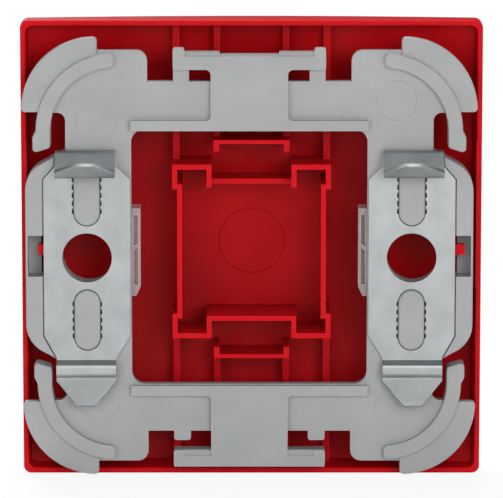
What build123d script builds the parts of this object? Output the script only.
"""Manual call point face unit: a red press plate hooked on a grey wall-box carrier.

Millimetres. The front of the unit looks along -Y, the wall side is +Y and +Z is up.
The origin is midway between the two fixing holes, on the wall side of the steel clips.
"""

from build123d import *
import os

os.makedirs("parts", exist_ok=True)

# Driving dimensions: the whole unit
hole_pitch = 60.0
hole_radius = 4.6
sheet = 0.7

# Driving dimensions: the red press plate
plate_side = 85.4
plate_corner = 1.4
plate_x = -0.4
plate_z = 0.85
rim_y = -5.0
rim_width = 0.95
floor_y = -14.0
face_wall = 2.0
crown_radius = 320.0
inner_draft = 6.5
rim_relief = 0.3
rim_relief_top = 20.3
rim_relief_bottom = -7.1

rib_y = -9.0
rib_end = 42.1
outer_rib_x = 14.0
outer_rib_wall = 1.2
inner_rib_x = 6.4
inner_rib_wall = 1.1
bar_y = -4.0
bar_z = 20.2
bar_half = 7.0
bar_wall = 0.7

box_y = -1.7
box_low_y = -6.0
box_wall = 0.9
box_side_x = 13.75
pocket_out_x = 14.65
pocket_in_x = 7.4
pocket_step_z = 12.6
pocket_end_z = 16.3
mark_radius = 6.3

hook_in_x = 36.4
hook_out_x = 37.6
hook_tip_x = 39.5
hook_half = 0.95
hook_z = 0.4
hook_top_y = -1.6
hook_nose_y = -3.6
hook_root_y = -8.5

# Driving dimensions: the printed front
label_side = 46.0
label_corner = 3.0
film = 0.2
ink = 0.1
dot_radius = 6.0

# Driving dimensions: the grey carrier
base_y = -sheet
base_wall = 1.8
opening_w = 43.6
opening_h = 47.8
opening_corner = 2.4
raised_y = 0.5
flange_y = -0.2
flange_wall = 1.6
flange_centre = 28.5
flange_r = 13.5
flange_end_x = 28.0
flange_end_z = 27.15
finger_out_r = 14.4
finger_in_r = 11.7
finger_x = 24.9
finger_z = 23.7
finger_tip_z = 19.6
finger_depth = 4.0
bar_rear_y = 0.2
bar_depth = 4.9
recess_floor_y = -4.0
recess_half = 3.85
recess_z = 0.33
boss_radius = 5.8
boss_depth = 2.0
boss_shift = (-0.35, 0.25)
bracket_depth = 3.6
lug_depth = 1.8
stem_half = 7.1
bracket_half = 14.0
stamp_radius = 3.8
peg_top_y = 0.35
groove_depth = 1.1

# Driving dimensions: the steel clips
clip_in_x = 22.05
clip_out_x = 38.0
clip_half = 14.65
neck_in_x = 24.7
neck_out_x = 35.75
neck_top = 17.2
neck_bottom = -18.8
bed_gap = 0.25
slot_width = 5.0
slot_length = 11.6
slot_z = 11.7
tooth_pitch = 1.5
tooth_gap = 0.9
tooth_depth = 0.25
tongue_tip_half = 1.7


def across(y, z=0.0):
    """Plane facing the front at depth y: local x is X, local y is Z, extrude runs to -Y."""
    return Plane(origin=(0, y, z), x_dir=(1, 0, 0), z_dir=(0, -1, 0))


def on_plate(y):
    """The plane across(y) with its origin on the middle line of the red plate."""
    return Plane(origin=(plate_x, y, plate_z), x_dir=(1, 0, 0), z_dir=(0, -1, 0))


def side(x):
    """Plane square to X: local x is Y, local y is Z, extrude runs to +X."""
    return Plane(origin=(x, 0, 0), x_dir=(0, 1, 0), z_dir=(1, 0, 0))


def save(part, name):
    part.label = name
    export_step(part, "parts/" + name + ".step")


def dome(apex_y, radius):
    """Everything on the wall side of a crowned surface whose foremost point is at apex_y."""
    reach = 72.0
    sagitta = radius - (radius**2 - reach**2) ** 0.5
    with BuildPart() as solid:
        with BuildSketch(Plane(origin=(plate_x, 0, plate_z), x_dir=(1, 0, 0), z_dir=(0, 0, 1))):
            with BuildLine():
                RadiusArc((0, apex_y), (reach, apex_y + sagitta), -radius)
                Polyline((reach, apex_y + sagitta), (reach, 12), (0, 12), (0, apex_y))
            make_face()
        revolve(axis=Axis((plate_x, 0, plate_z), (0, 1, 0)))
    return solid.part


face_y = floor_y - face_wall
film_start_y = face_y + 3.0
floor_dome = dome(floor_y, crown_radius - face_wall)
foot_dome = dome(floor_y - face_wall / 2, crown_radius - face_wall / 2)
face_dome = dome(face_y, crown_radius)
film_dome = dome(face_y + film, crown_radius - film)
ink_dome = dome(face_y - ink, crown_radius + ink)


# ---------------------------------------------------------------- face_plate
# The hollow of the tray: drafted side walls, floor parallel to the crowned face.
with BuildPart() as hollow:
    with BuildSketch(on_plate(rim_y)):
        RectangleRounded(plate_side - 2 * rim_width, plate_side - 2 * rim_width, plate_corner)
    extrude(amount=12, taper=inner_draft)
    add(floor_dome, mode=Mode.INTERSECT)

# Ribs, box walls and hooks stand on the floor; their feet end inside the face wall.
with BuildPart() as inside:
    foot = floor_y - face_wall
    with BuildSketch(on_plate(rib_y)):
        for x in (-outer_rib_x, outer_rib_x):
            for z in (-1, 1):
                with Locations((x, z * (pocket_end_z + rib_end) / 2 - z * 0.2)):
                    Rectangle(outer_rib_wall, rib_end - pocket_end_z + 0.4)
        for x in (-inner_rib_x, inner_rib_x):
            for z in (-1, 1):
                with Locations((x, z * (bar_z + rib_end) / 2)):
                    Rectangle(inner_rib_wall, rib_end - bar_z)
    extrude(amount=rib_y - foot)

    # Cross bars with short returns towards the box.
    with BuildSketch(on_plate(bar_y)):
        with GridLocations(0, 2 * bar_z, 1, 2):
            Rectangle(2 * bar_half, bar_wall)
        with GridLocations(2 * (bar_half - 0.5), 2 * (bar_z - 0.7), 2, 2):
            Rectangle(1.0, 2.1)
    extrude(amount=bar_y - foot)

    # The box: one thin wall that follows an outline with a pocket at each corner.
    with BuildSketch(on_plate(box_y)):
        with BuildLine():
            Polyline(
                (0, pocket_step_z + 0.4),
                (pocket_in_x, pocket_step_z + 0.4),
                (pocket_in_x, pocket_end_z),
                (pocket_out_x, pocket_end_z),
                (pocket_out_x, pocket_step_z - 0.9),
                (box_side_x, pocket_step_z - 0.9),
                (box_side_x, 0),
            )
            mirror(about=Plane.XZ)
            mirror(about=Plane.YZ)
        make_face()
        offset(amount=-box_wall, kind=Kind.INTERSECTION, mode=Mode.SUBTRACT)
    extrude(amount=box_y - foot)

    # The upper middle wall of the box is cut lower than the rest.
    with BuildSketch(on_plate(box_y)):
        with Locations((0, pocket_step_z)):
            Rectangle(2 * pocket_in_x, 2.4)
    extrude(amount=box_y - box_low_y, mode=Mode.SUBTRACT)

    # Side hooks: a post on a broad foot, with a peg that points outwards.
    for s in (-1, 1):
        with BuildSketch(on_plate(hook_root_y)):
            with Locations((s * (hook_in_x + hook_out_x) / 2, hook_z)):
                Rectangle(2.4, 6.4)
        extrude(amount=hook_root_y - foot)
        with BuildSketch(on_plate(hook_top_y)):
            with Locations((s * (hook_in_x + hook_out_x) / 2, hook_z)):
                Rectangle(hook_out_x - hook_in_x, 2 * hook_half)
        extrude(amount=hook_top_y - foot)
        with BuildSketch(on_plate(hook_top_y)):
            with Locations((s * (hook_in_x + hook_tip_x) / 2, hook_z)):
                Rectangle(hook_tip_x - hook_in_x, 2 * hook_half)
        extrude(amount=hook_top_y - hook_nose_y)
        fillet(inside.edges(Select.LAST).filter_by(Axis.Y), radius=0.25)

    add(foot_dome, mode=Mode.INTERSECT)

with BuildPart() as face_plate:
    with BuildSketch(on_plate(rim_y)):
        RectangleRounded(plate_side, plate_side, plate_corner)
    extrude(amount=14)
    add(face_dome, mode=Mode.INTERSECT)
    crown = face_plate.faces().sort_by(Axis.Y)[0]
    fillet(crown.edges(), radius=1.1)
    add(hollow.part, mode=Mode.SUBTRACT)
    rim = face_plate.faces().filter_by(Axis.Y).sort_by(Axis.Y)[-1]
    chamfer(rim.edges(), length=0.15)
    add(inside.part)

    # Shallow reliefs in the rims of the two side walls.
    with BuildSketch(on_plate(rim_y)):
        for s in (-1, 1):
            with Locations((s * plate_side / 2, (rim_relief_top + rim_relief_bottom) / 2)):
                Rectangle(4, rim_relief_top - rim_relief_bottom)
    extrude(amount=rim_relief, mode=Mode.SUBTRACT)

    # A faint ring is moulded into the middle of the floor.
    with BuildSketch(on_plate(floor_y + 0.3)):
        Circle(mark_radius)
        Circle(mark_radius - 0.25, mode=Mode.SUBTRACT)
    extrude(amount=0.4, mode=Mode.SUBTRACT)

    # A shallow bed for the printed film, parallel to the crowned face.
    with BuildSketch(on_plate(film_start_y)):
        RectangleRounded(label_side + 0.2, label_side + 0.2, label_corner)
    bed_block = extrude(amount=5, mode=Mode.PRIVATE)
    add(bed_block - film_dome, mode=Mode.SUBTRACT)


# ---------------------------------------------------------------- operating_label
with BuildPart() as operating_label:
    with BuildSketch(on_plate(film_start_y)):
        RectangleRounded(label_side, label_side, label_corner - 0.1)
    extrude(amount=5)
    add(face_dome, mode=Mode.INTERSECT)
    add(film_dome, mode=Mode.SUBTRACT)


# ---------------------------------------------------------------- operating_symbol
# A dot between two arrows that point at it.
with BuildPart() as operating_symbol:
    with BuildSketch(on_plate(film_start_y)):
        Circle(dot_radius)
        with BuildLine():
            Polyline(
                (dot_radius + 2.0, 0),
                (dot_radius + 7.0, 4.2),
                (dot_radius + 7.0, 1.5),
                (dot_radius + 13.0, 1.5),
                (dot_radius + 13.0, -1.5),
                (dot_radius + 7.0, -1.5),
                (dot_radius + 7.0, -4.2),
                close=True,
            )
        make_face()
        mirror(about=Plane.YZ)
    extrude(amount=5)
    add(ink_dome, mode=Mode.INTERSECT)
    add(face_dome, mode=Mode.SUBTRACT)


# ---------------------------------------------------------------- carrier_frame
with BuildPart() as side_bars:
    with BuildSketch(across(bar_rear_y)):
        with BuildLine():
            Polyline((33.9, 0), (33.9, 20.0), (35.7, 19.1), (39.0, 17.2))
            ThreePointArc((39.0, 17.2), (40.7, 15.2), (41.35, 12.4))
            Line((41.35, 12.4), (41.35, 0))
            mirror(about=Plane.XZ)
        make_face()
        mirror(about=Plane.YZ)
    extrude(amount=bar_depth)
    fillet(side_bars.edges().group_by(Axis.Y)[-1], radius=0.3)

with BuildPart() as pegs:
    with BuildSketch(across(peg_top_y)):
        with GridLocations(hole_pitch, 2 * slot_z, 2, 2):
            SlotOverall(slot_length - 0.3, slot_width - 0.2, rotation=90)
    extrude(amount=peg_top_y - base_y + groove_depth + 0.1)
    fillet(pegs.edges().group_by(Axis.Y)[-1], radius=0.45)

with BuildPart() as carrier_frame:
    # Base plate: a quarter outline mirrored twice, with the square opening.
    with BuildSketch(across(base_y)):
        with BuildLine():
            Polyline((0, 32.8), (18.8, 32.8), (18.8, 36.5))
            RadiusArc((18.8, 36.5), (20.8, 38.5), 2.0)
            Polyline(
                (20.8, 38.5),
                (29.0, 38.5),
                (36.0, 35.6),
                (38.0, 30.0),
                (38.0, 27.0),
                (35.4, 27.0),
            )
            RadiusArc((35.4, 27.0), (33.9, 25.5), -1.5)
            Polyline((33.9, 25.5), (33.9, 20.0), (38.4, 17.6), (38.4, 0))
            mirror(about=Plane.XZ)
            mirror(about=Plane.YZ)
        make_face()
        RectangleRounded(opening_w, opening_h, opening_corner, mode=Mode.SUBTRACT)
    extrude(amount=base_wall)

    # Corner flanges: quarter rounds outside the curved fingers.
    with BuildSketch(across(flange_y)):
        with Locations((flange_centre, flange_centre - 1)):
            Circle(flange_r)
        with Locations((flange_end_x + 10, flange_end_z + 10)):
            Rectangle(20, 20, mode=Mode.INTERSECT)
        with Locations((finger_x, finger_z)):
            Circle((finger_out_r + finger_in_r) / 2, mode=Mode.SUBTRACT)
        fillet(vertices().sort_by(Axis.X)[-1], radius=0.8)
        fillet(vertices().sort_by(Axis.Y)[-1], radius=0.8)
        mirror(about=Plane.XZ)
        mirror(about=Plane.YZ)
    extrude(amount=flange_wall)
    fillet(carrier_frame.edges(Select.LAST).group_by(Axis.Y)[-1], radius=0.2)

    # Curved fingers: each starts blunt on the flange and ends free, with a small lug.
    with BuildSketch(across(raised_y)):
        with Locations((finger_x, finger_z)):
            Circle(finger_out_r)
            Circle(finger_in_r, mode=Mode.SUBTRACT)
        with Locations((finger_x + 10, finger_z + 10)):
            Rectangle(20, 20, mode=Mode.INTERSECT)
        fillet(vertices().group_by(Axis.X)[0], radius=1.0)
        with BuildLine():
            Polyline(
                (finger_x + finger_in_r, finger_z + 0.2),
                (finger_x + finger_in_r, finger_tip_z + 1.0),
                (finger_x + finger_out_r + 0.6, finger_tip_z),
                (finger_x + finger_out_r + 0.6, finger_z - 1.2),
                (finger_x + finger_out_r - 0.1, finger_z + 0.2),
                close=True,
            )
        make_face()
        fillet(vertices().sort_by(Axis.Y)[:2], radius=0.7)
        mirror(about=Plane.XZ)
        mirror(about=Plane.YZ)
    extrude(amount=finger_depth)
    fillet(carrier_frame.edges(Select.LAST).group_by(Axis.Y)[-1], radius=0.25)

    # Stems and long cross ribs on the upper and lower edges of the opening.
    with BuildSketch(across(raised_y)) as stems:
        with Locations((0, 24.7), (0, -25.0)):
            Rectangle(2 * 21.9, 1.9)
        with Locations((0, 30.3), (0, -31.0)):
            Rectangle(2 * stem_half, 12.5)
        for x in (-stem_half, stem_half):
            for z in (25.65, -25.95):
                fillet(stems.vertices().sort_by_distance((x, z, 0))[0], radius=0.9)
    extrude(amount=raised_y - base_y + base_wall)

    # Upper bracket: bar, lower outer band with a shallow notch, end lugs and legs.
    with BuildSketch(across(raised_y)):
        with Locations((0, 36.3)):
            Rectangle(2 * bracket_half, 2.4)
    extrude(amount=bracket_depth)
    with BuildSketch(across(raised_y)):
        for s in (-1, 1):
            with Locations((s * (stem_half + 0.5), 34.6)):
                Rectangle(1.0, 1.0)
            with Locations((s * (stem_half + 1.0), 34.1)):
                Circle(1.0, mode=Mode.SUBTRACT)
    extrude(amount=bracket_depth)
    with BuildSketch(across(raised_y)):
        with Locations((-13.0, 37.1), (13.0, 37.1)):
            RectangleRounded(2.1, 4.0, 0.4)
    extrude(amount=lug_depth)
    with BuildSketch(across(raised_y - 0.5)):
        with Locations((0, 37.3)):
            Rectangle(2 * 12.2, 1.8)
        with Locations((0, 38.1)):
            Rectangle(2 * 5.5, 0.7, mode=Mode.SUBTRACT)
    extrude(amount=bracket_depth - 0.5)
    with BuildSketch(across(base_y)):
        with Locations((-12.55, 34.0), (12.55, 34.0)):
            Rectangle(2.9, 3.2)
    extrude(amount=base_wall)

    # Lower bracket: its inner lip is a little lower, and two tabs stop short of it.
    with BuildSketch(across(raised_y)):
        with Locations((0, -38.4)):
            Rectangle(2 * bracket_half, 2.0)
        with Locations((-13.0, -37.8), (13.0, -37.8)):
            RectangleRounded(2.1, 3.1, 0.5)
        with Locations((0, -37.0)):
            Rectangle(2 * stem_half, 1.6)
    extrude(amount=bracket_depth)
    with BuildSketch(across(raised_y - 0.4)):
        with Locations((0, -37.0)):
            Rectangle(2 * 12.6, 1.4)
    extrude(amount=bracket_depth - 0.4)
    with BuildSketch(across(base_y)):
        with Locations((-12.45, -33.5), (12.45, -33.5)):
            RectangleRounded(3.1, 2.2, 0.5)
    extrude(amount=base_wall)

    # Thick side bars with rounded shoulders.
    add(side_bars.part)

    # Bosses behind the fixing holes.
    with BuildSketch(across(base_y - base_wall)):
        with Locations(boss_shift):
            with GridLocations(hole_pitch, 0, 2, 1):
                Circle(boss_radius)
    extrude(amount=boss_depth)

    # Flat bed for the steel clips, a little larger than their outline.
    with BuildSketch(across(raised_y + 1.0)):
        with BuildLine():
            Polyline(
                (clip_in_x - 2, neck_bottom),
                (clip_in_x - 2, neck_top),
                (neck_in_x - bed_gap, neck_top + bed_gap),
                (neck_in_x - bed_gap, 21.8),
                (neck_out_x + bed_gap, 21.8),
                (neck_out_x + bed_gap, neck_top + 0.1),
                (clip_out_x + bed_gap, clip_half + 0.1),
                (clip_out_x + bed_gap, -clip_half - 0.1),
                (neck_out_x + bed_gap, neck_bottom - 0.1),
                (neck_out_x + bed_gap, -22.8),
                (neck_in_x - bed_gap, -22.8),
                (neck_in_x - bed_gap, neck_bottom),
                close=True,
            )
        make_face()
        mirror(about=Plane.YZ)
    extrude(amount=raised_y + 1.0 - base_y, mode=Mode.SUBTRACT)

    # Obround pegs, which pass through the slots of the clips, each in a narrow groove.
    with BuildSketch(across(base_y + 0.5)):
        with GridLocations(hole_pitch, 2 * slot_z, 2, 2):
            SlotOverall(slot_length + 0.6, slot_width + 0.6, rotation=90)
    extrude(amount=0.5 + groove_depth, mode=Mode.SUBTRACT)
    add(pegs.part)

    # Fixing holes, wider than those of the clips, which float a little to one side.
    with BuildSketch(across(0)):
        with Locations(boss_shift):
            with GridLocations(hole_pitch, 0, 2, 1):
                Circle(hole_radius + 0.35)
    extrude(amount=12, mode=Mode.SUBTRACT)

    # Hook recesses: a pocket open to the wall side and a slot right through beside it.
    with BuildSketch(across(1.0, recess_z)):
        with GridLocations(2 * 38.65, 0, 2, 1):
            Rectangle(4.6, 2 * recess_half)
    extrude(amount=1.0 - recess_floor_y, mode=Mode.SUBTRACT)
    with BuildSketch(across(1.0, recess_z)):
        with GridLocations(2 * 37.0, 0, 2, 1):
            Rectangle(3.2, 2 * recess_half)
    extrude(amount=10, mode=Mode.SUBTRACT)

    # Round ejector marks, a fine groove each.
    with BuildSketch(across(base_y + 0.5)):
        with Locations((28.3, 25.4), (-27.1, 29.3), (-27.1, -28.4), (27.7, -27.0)):
            Circle(stamp_radius)
            Circle(stamp_radius - 0.2, mode=Mode.SUBTRACT)
    extrude(amount=0.6, mode=Mode.SUBTRACT)


# ---------------------------------------------------------------- spring clips
def trapezoid_tongue(foot, tip, foot_half, tip_half, x_mid):
    """Flat tongue of sheet between two points of the Y-Z profile, narrowing to its tip."""
    along = Vector(0, tip[0] - foot[0], tip[1] - foot[1])
    length = along.length
    plane = Plane(
        origin=(x_mid, foot[0], foot[1]),
        x_dir=(1, 0, 0),
        z_dir=Vector(1, 0, 0).cross(along),
    )
    with BuildPart() as tongue:
        with BuildSketch(plane):
            with BuildLine():
                Polyline(
                    (-foot_half, -0.2),
                    (foot_half, -0.2),
                    (foot_half, 0.4),
                    (tip_half, length),
                    (-tip_half, length),
                    (-foot_half, 0.4),
                    close=True,
                )
            make_face()
        extrude(amount=sheet / 2, both=True)
    return tongue.part


def bent_strip(points, radii, x_low, x_high):
    """Strip of sheet whose middle line follows points (y, z) with rounded bends."""
    with BuildPart() as strip:
        with BuildSketch(side(x_low)):
            with BuildLine():
                middle = FilletPolyline(*points, radius=radii)
            trace(middle, line_width=sheet)
        extrude(amount=x_high - x_low)
    return strip.part


def spring_clip(s):
    """Steel clip around the fixing hole on the side s of the unit."""
    mid = s * (neck_in_x + neck_out_x) / 2
    neck_low = min(s * neck_in_x, s * neck_out_x)
    neck_high = max(s * neck_in_x, s * neck_out_x)
    half_neck = (neck_out_x - neck_in_x) / 2
    surface = -sheet / 2
    upper_bends = [(surface, neck_top + 0.6), (surface, 22.0), (3.7, 15.2), (5.0, 16.7)]
    lower_bends = [
        (surface, neck_bottom + 0.2),
        (surface, -19.5),
        (1.3, -20.1),
        (1.3, -21.7),
        (0.4, -22.4),
        (0.65, -22.8),
    ]
    upper = bent_strip(upper_bends, [0.8, 1.0], neck_low, neck_high)
    lower = bent_strip(lower_bends, [0.45, 0.45, 0.4, 0.37], neck_low, neck_high)
    upper_tongue = trapezoid_tongue((4.95, 16.64), (6.5, 18.4), half_neck, tongue_tip_half, mid)
    lower_tongue = trapezoid_tongue((0.6, -22.72), (3.1, -27.3), half_neck, tongue_tip_half, mid)

    with BuildPart() as clip:
        with BuildSketch(across(0)):
            with BuildLine():
                Polyline(
                    (s * clip_in_x, -clip_half),
                    (s * clip_in_x, clip_half),
                    (s * neck_in_x, neck_top),
                    (s * neck_in_x, neck_top + 0.8),
                    (s * neck_out_x, neck_top + 0.8),
                    (s * neck_out_x, neck_top),
                    (s * clip_out_x, clip_half),
                    (s * clip_out_x, -clip_half),
                    (s * neck_out_x, neck_bottom),
                    (s * neck_in_x, neck_bottom),
                    close=True,
                )
            make_face()
            with Locations((s * hole_pitch / 2, 0)):
                Circle(hole_radius, mode=Mode.SUBTRACT)
            with Locations((s * hole_pitch / 2, slot_z), (s * hole_pitch / 2, -slot_z)):
                SlotOverall(slot_length, slot_width, rotation=90, mode=Mode.SUBTRACT)
                with GridLocations(slot_width, tooth_pitch, 2, 5):
                    Rectangle(2 * tooth_depth, tooth_gap, mode=Mode.SUBTRACT)
        extrude(amount=sheet)
        add(upper)
        add(lower)
        add(upper_tongue)
        add(lower_tongue)
    return clip


spring_clip_left = spring_clip(-1)
spring_clip_right = spring_clip(1)


# ---------------------------------------------------------------- guides
def guide(s):
    """Clear guide block on the inner edge of the carrier, with two panes and a foot."""
    with BuildPart() as block:
        with BuildSketch(across(-1.5)):
            with BuildLine():
                Polyline(
                    (s * 21.75, 9.0),
                    (s * 20.2, 9.0),
                    (s * 20.2, -5.7),
                    (s * 21.0, -7.4),
                    (s * 21.75, -7.4),
                    close=True,
                )
            make_face()
        extrude(amount=4.6)
        with BuildSketch(across(base_y - base_wall)):
            with Locations((s * 22.15, 0.8)):
                Rectangle(2.6, 12.0)
        extrude(amount=1.0)
        with BuildSketch(across(-1.5)):
            with BuildLine():
                Polyline((s * 20.6, 7.8), (s * 21.45, 7.8), (s * 21.45, 1.9), (s * 20.6, 2.5), close=True)
            make_face()
            with BuildLine():
                Polyline((s * 20.6, 1.7), (s * 21.45, 1.1), (s * 21.45, -5.3), (s * 20.6, -5.3), close=True)
            make_face()
        extrude(amount=2.6, mode=Mode.SUBTRACT)
    return block


guide_left = guide(-1)
guide_right = guide(1)


save(face_plate.part, "face_plate")
save(operating_label.part, "operating_label")
save(operating_symbol.part, "operating_symbol")
save(carrier_frame.part, "carrier_frame")
save(spring_clip_left.part, "spring_clip_left")
save(spring_clip_right.part, "spring_clip_right")
save(guide_left.part, "guide_left")
save(guide_right.part, "guide_right")
